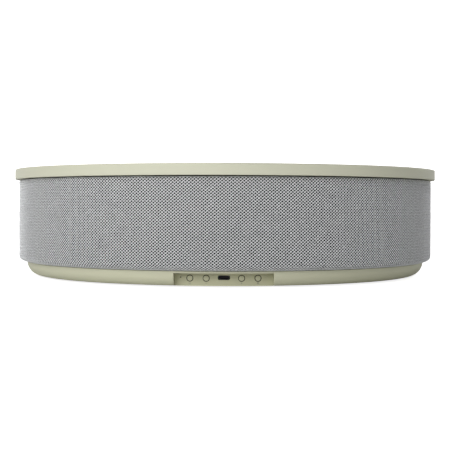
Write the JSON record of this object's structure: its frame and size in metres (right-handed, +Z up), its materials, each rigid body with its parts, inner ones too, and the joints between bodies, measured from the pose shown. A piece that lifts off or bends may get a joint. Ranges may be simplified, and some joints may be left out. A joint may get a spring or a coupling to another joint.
{
  "type": "smart speaker",
  "caption": "Large round flat smart speaker with an overhanging lid, a mesh cloth band and a rounded base with a rear recess for round buttons and a charging port.",
  "frame": {"origin": "centre of the foot ring's underside, on the surface it stands on", "axes": "+Z up through the lid, -Y towards the control recess at the rear, +Y towards the listener"},
  "size_m": [0.4099, 0.41, 0.102],
  "materials": {
    "battery_wrap": "heat-shrink wrap",
    "black_plastic": "matte black",
    "board_green": "solder mask",
    "button_plastic": "satin, sage beige",
    "clear_plastic": "clear light pipe",
    "coil_copper": "enamelled copper wire on a former",
    "cone_paper": "pressed paper pulp",
    "ferrite": "sintered ferrite",
    "foot_rubber": "matte rubber",
    "gasket_rubber": "closed-cell foam",
    "heat_sink_aluminium": "extruded",
    "lead_wrap": "insulated lead",
    "mesh_cloth": "open diagonal weave, cool grey",
    "motor_steel": "zinc-plated steel",
    "sage_plastic": "fine moulded matte, sage beige",
    "screw_steel": "black-plated steel",
    "socket_steel": "drawn steel",
    "spider_cloth": "resin-dipped cotton",
    "surround_rubber": "butyl rubber",
    "switch_plastic": "matte black"
  },
  "bodies": {
    "speaker": {"amplifier_heat_sink": "heat_sink_aluminium", "base_housing": "sage_plastic", "base_screws": "screw_steel", "battery_bracket": "heat_sink_aluminium", "battery_lead": "lead_wrap", "battery_pack": "battery_wrap", "board_screws": "screw_steel", "capacitors": "heat_sink_aluminium", "cloth_clamp_ring": "black_plastic", "control_board": "board_green", "control_lead": "lead_wrap", "control_panel": "sage_plastic", "enclosure_cover": "black_plastic", "enclosure_gasket": "gasket_rubber", "enclosure_screws": "screw_steel", "foot_ring": "foot_rubber", "front_left_driver_frame": "black_plastic", "front_left_driver_magnet": "motor_steel", "front_right_driver_frame": "black_plastic", "front_right_driver_magnet": "motor_steel", "grille_cloth": "mesh_cloth", "grille_frame": "black_plastic", "lid_mounting_plate": "black_plastic", "lid_screws": "screw_steel", "main_board": "board_green", "microphone_board": "board_green", "microphone_gaskets": "gasket_rubber", "microphones": "heat_sink_aluminium", "panel_screws": "screw_steel", "rear_left_driver_frame": "black_plastic", "rear_left_driver_magnet": "motor_steel", "rear_right_driver_frame": "black_plastic", "rear_right_driver_magnet": "motor_steel", "shield_can": "socket_steel", "side_driver_surrounds": "surround_rubber", "sound_deflector": "black_plastic", "speaker_enclosure": "black_plastic", "status_light_pipe": "clear_plastic", "tact_switches": "switch_plastic", "top_lid": "sage_plastic", "usb_socket_shell": "socket_steel", "usb_socket_tongue": "black_plastic", "wireless_antenna": "board_green", "woofer_back_plate": "motor_steel", "woofer_frame": "black_plastic", "woofer_magnet": "ferrite", "woofer_spider": "spider_cloth", "woofer_surround": "surround_rubber", "woofer_top_plate": "motor_steel"},
    "power_button": {"power_button": "button_plastic"},
    "volume_down_button": {"volume_down_button": "button_plastic"},
    "volume_up_button": {"volume_up_button": "button_plastic"},
    "pairing_button": {"pairing_button": "button_plastic"},
    "woofer_cone": {"woofer_cone": "cone_paper", "woofer_dust_cap": "cone_paper", "woofer_voice_coil": "coil_copper"},
    "front_right_cone": {"front_right_driver_cone": "cone_paper"},
    "front_left_cone": {"front_left_driver_cone": "cone_paper"},
    "rear_left_cone": {"rear_left_driver_cone": "cone_paper"},
    "rear_right_cone": {"rear_right_driver_cone": "cone_paper"}
  },
  "joints": [
    {"name": "power_button_press", "type": "slide", "parent": "speaker", "child": "power_button", "axis": [0, 1, 0], "range_m": [0, 0.0005], "stiffness_N_per_m": 1500, "springref_m": -0.0003},
    {"name": "volume_down_button_press", "type": "slide", "parent": "speaker", "child": "volume_down_button", "axis": [0, 1, 0], "range_m": [0, 0.0005], "stiffness_N_per_m": 1500, "springref_m": -0.0003},
    {"name": "volume_up_button_press", "type": "slide", "parent": "speaker", "child": "volume_up_button", "axis": [0, 1, 0], "range_m": [0, 0.0005], "stiffness_N_per_m": 1500, "springref_m": -0.0003},
    {"name": "pairing_button_press", "type": "slide", "parent": "speaker", "child": "pairing_button", "axis": [0, 1, 0], "range_m": [0, 0.0005], "stiffness_N_per_m": 1500, "springref_m": -0.0003},
    {"name": "woofer_excursion", "type": "slide", "parent": "speaker", "child": "woofer_cone", "axis": [0, 0, 1], "range_m": [-0.004, 0.004], "stiffness_N_per_m": 2500},
    {"name": "front_right_excursion", "type": "slide", "parent": "speaker", "child": "front_right_cone", "axis": [0.7071, 0.7071, 0], "range_m": [-0.002, 0.002], "stiffness_N_per_m": 1500},
    {"name": "front_left_excursion", "type": "slide", "parent": "speaker", "child": "front_left_cone", "axis": [-0.7071, 0.7071, 0], "range_m": [-0.002, 0.002], "stiffness_N_per_m": 1500},
    {"name": "rear_left_excursion", "type": "slide", "parent": "speaker", "child": "rear_left_cone", "axis": [-0.7071, -0.7071, 0], "range_m": [-0.002, 0.002], "stiffness_N_per_m": 1500},
    {"name": "rear_right_excursion", "type": "slide", "parent": "speaker", "child": "rear_right_cone", "axis": [0.7071, -0.7071, 0], "range_m": [-0.002, 0.002], "stiffness_N_per_m": 1500}
  ]
}
